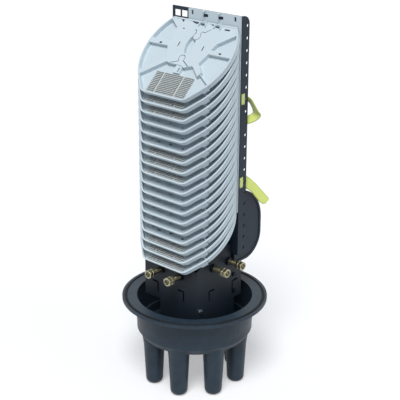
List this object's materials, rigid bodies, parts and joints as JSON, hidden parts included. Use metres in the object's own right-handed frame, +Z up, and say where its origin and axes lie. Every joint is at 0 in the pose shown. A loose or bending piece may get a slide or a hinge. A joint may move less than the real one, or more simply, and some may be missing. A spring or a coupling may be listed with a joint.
{
  "type": "dome splice closure",
  "caption": "Fibre optic dome splice closure without its dome: round base with closed cable ports, clamp frame and a stack of leaning hinged splice trays.",
  "frame": {"origin": "centre of the sealing rim's top face", "axes": "+Z up along the base's axis, -Y to the side that the trays lean to, +X along the trays' hinges"},
  "size_m": [0.23, 0.23, 0.5896],
  "materials": {
    "base_plastic": "moulded, satin",
    "seal_rubber": "matt",
    "frame_sheet": "dark powder coat",
    "panel_plastic": "moulded, satin",
    "tray_plastic": "moulded, satin",
    "holder_plastic": "moulded, satin",
    "brass": "turned",
    "zinc_steel": "zinc plated",
    "black_steel": "black oxide",
    "strap_fabric": "woven hook and loop"
  },
  "bodies": {
    "root": {"base": "base_plastic", "rim_seal": "seal_rubber", "termination_frame": "frame_sheet", "stud_rods": "brass", "stud_nuts": "brass", "jam_nuts": "black_steel", "frame_screws": "zinc_steel", "ear_screws": "black_steel", "back_panel": "panel_plastic", "tray_rail": "tray_plastic", "panel_rivets": "zinc_steel", "loop_basket": "panel_plastic", "strap_upper": "strap_fabric", "strap_lower": "strap_fabric"},
    "tray_body_01": {"tray_01": "tray_plastic", "splice_holder_01": "holder_plastic"},
    "tray_body_02": {"tray_02": "tray_plastic", "splice_holder_02": "holder_plastic"},
    "tray_body_03": {"tray_03": "tray_plastic", "splice_holder_03": "holder_plastic"},
    "tray_body_04": {"tray_04": "tray_plastic"},
    "tray_body_05": {"tray_05": "tray_plastic"},
    "tray_body_06": {"tray_06": "tray_plastic"},
    "tray_body_07": {"tray_07": "tray_plastic", "splice_holder_07": "holder_plastic"},
    "tray_body_08": {"tray_08": "tray_plastic", "splice_holder_08": "holder_plastic"},
    "tray_body_09": {"tray_09": "tray_plastic", "splice_holder_09": "holder_plastic"},
    "tray_body_10": {"tray_10": "tray_plastic"},
    "tray_body_11": {"tray_11": "tray_plastic"},
    "tray_body_12": {"tray_12": "tray_plastic"},
    "tray_body_13": {"tray_13": "tray_plastic"},
    "tray_body_14": {"tray_14": "tray_plastic"},
    "tray_body_15": {"tray_15": "tray_plastic"},
    "tray_body_16": {"tray_16": "tray_plastic", "splice_holder_16": "holder_plastic"},
    "tray_body_17": {"tray_17": "tray_plastic", "splice_holder_17": "holder_plastic"},
    "tray_body_18": {"tray_18": "tray_plastic", "splice_holder_18": "holder_plastic"}
  },
  "joints": [
    {"name": "tray_hinge_01", "type": "hinge", "parent": "root", "child": "tray_body_01", "pos_m": [0, 0.0179, 0.4286], "axis": [-1, 0, 0], "range_deg": [0, 90]},
    {"name": "tray_hinge_02", "type": "hinge", "parent": "root", "child": "tray_body_02", "pos_m": [0, 0.0179, 0.41294], "axis": [-1, 0, 0], "range_deg": [0, 90]},
    {"name": "tray_hinge_03", "type": "hinge", "parent": "root", "child": "tray_body_03", "pos_m": [0, 0.0179, 0.39728], "axis": [-1, 0, 0], "range_deg": [0, 90]},
    {"name": "tray_hinge_04", "type": "hinge", "parent": "root", "child": "tray_body_04", "pos_m": [0, 0.0179, 0.38162], "axis": [-1, 0, 0], "range_deg": [0, 90]},
    {"name": "tray_hinge_05", "type": "hinge", "parent": "root", "child": "tray_body_05", "pos_m": [0, 0.0179, 0.36596], "axis": [-1, 0, 0], "range_deg": [0, 90]},
    {"name": "tray_hinge_06", "type": "hinge", "parent": "root", "child": "tray_body_06", "pos_m": [0, 0.0179, 0.3503], "axis": [-1, 0, 0], "range_deg": [0, 90]},
    {"name": "tray_hinge_07", "type": "hinge", "parent": "root", "child": "tray_body_07", "pos_m": [0, 0.0179, 0.33464], "axis": [-1, 0, 0], "range_deg": [0, 90]},
    {"name": "tray_hinge_08", "type": "hinge", "parent": "root", "child": "tray_body_08", "pos_m": [0, 0.0179, 0.31898], "axis": [-1, 0, 0], "range_deg": [0, 90]},
    {"name": "tray_hinge_09", "type": "hinge", "parent": "root", "child": "tray_body_09", "pos_m": [0, 0.0179, 0.30332], "axis": [-1, 0, 0], "range_deg": [0, 90]},
    {"name": "tray_hinge_10", "type": "hinge", "parent": "root", "child": "tray_body_10", "pos_m": [0, 0.0179, 0.28766], "axis": [-1, 0, 0], "range_deg": [0, 90]},
    {"name": "tray_hinge_11", "type": "hinge", "parent": "root", "child": "tray_body_11", "pos_m": [0, 0.0179, 0.272], "axis": [-1, 0, 0], "range_deg": [0, 90]},
    {"name": "tray_hinge_12", "type": "hinge", "parent": "root", "child": "tray_body_12", "pos_m": [0, 0.0179, 0.25634], "axis": [-1, 0, 0], "range_deg": [0, 90]},
    {"name": "tray_hinge_13", "type": "hinge", "parent": "root", "child": "tray_body_13", "pos_m": [0, 0.0179, 0.24068], "axis": [-1, 0, 0], "range_deg": [0, 90]},
    {"name": "tray_hinge_14", "type": "hinge", "parent": "root", "child": "tray_body_14", "pos_m": [0, 0.0179, 0.22502], "axis": [-1, 0, 0], "range_deg": [0, 90]},
    {"name": "tray_hinge_15", "type": "hinge", "parent": "root", "child": "tray_body_15", "pos_m": [0, 0.0179, 0.20936], "axis": [-1, 0, 0], "range_deg": [0, 90]},
    {"name": "tray_hinge_16", "type": "hinge", "parent": "root", "child": "tray_body_16", "pos_m": [0, 0.0179, 0.1937], "axis": [-1, 0, 0], "range_deg": [0, 90]},
    {"name": "tray_hinge_17", "type": "hinge", "parent": "root", "child": "tray_body_17", "pos_m": [0, 0.0179, 0.17804], "axis": [-1, 0, 0], "range_deg": [0, 90]},
    {"name": "tray_hinge_18", "type": "hinge", "parent": "root", "child": "tray_body_18", "pos_m": [0, 0.0179, 0.16238], "axis": [-1, 0, 0], "range_deg": [0, 90]}
  ],
  "couplings": [
    {"joint": "tray_hinge_01", "follows": "tray_hinge_18", "ratio": 1},
    {"joint": "tray_hinge_02", "follows": "tray_hinge_18", "ratio": 1},
    {"joint": "tray_hinge_03", "follows": "tray_hinge_18", "ratio": 1},
    {"joint": "tray_hinge_04", "follows": "tray_hinge_18", "ratio": 1},
    {"joint": "tray_hinge_05", "follows": "tray_hinge_18", "ratio": 1},
    {"joint": "tray_hinge_06", "follows": "tray_hinge_18", "ratio": 1},
    {"joint": "tray_hinge_07", "follows": "tray_hinge_18", "ratio": 1},
    {"joint": "tray_hinge_08", "follows": "tray_hinge_18", "ratio": 1},
    {"joint": "tray_hinge_09", "follows": "tray_hinge_18", "ratio": 1},
    {"joint": "tray_hinge_10", "follows": "tray_hinge_18", "ratio": 1},
    {"joint": "tray_hinge_11", "follows": "tray_hinge_18", "ratio": 1},
    {"joint": "tray_hinge_12", "follows": "tray_hinge_18", "ratio": 1},
    {"joint": "tray_hinge_13", "follows": "tray_hinge_18", "ratio": 1},
    {"joint": "tray_hinge_14", "follows": "tray_hinge_18", "ratio": 1},
    {"joint": "tray_hinge_15", "follows": "tray_hinge_18", "ratio": 1},
    {"joint": "tray_hinge_16", "follows": "tray_hinge_18", "ratio": 1},
    {"joint": "tray_hinge_17", "follows": "tray_hinge_18", "ratio": 1}
  ]
}
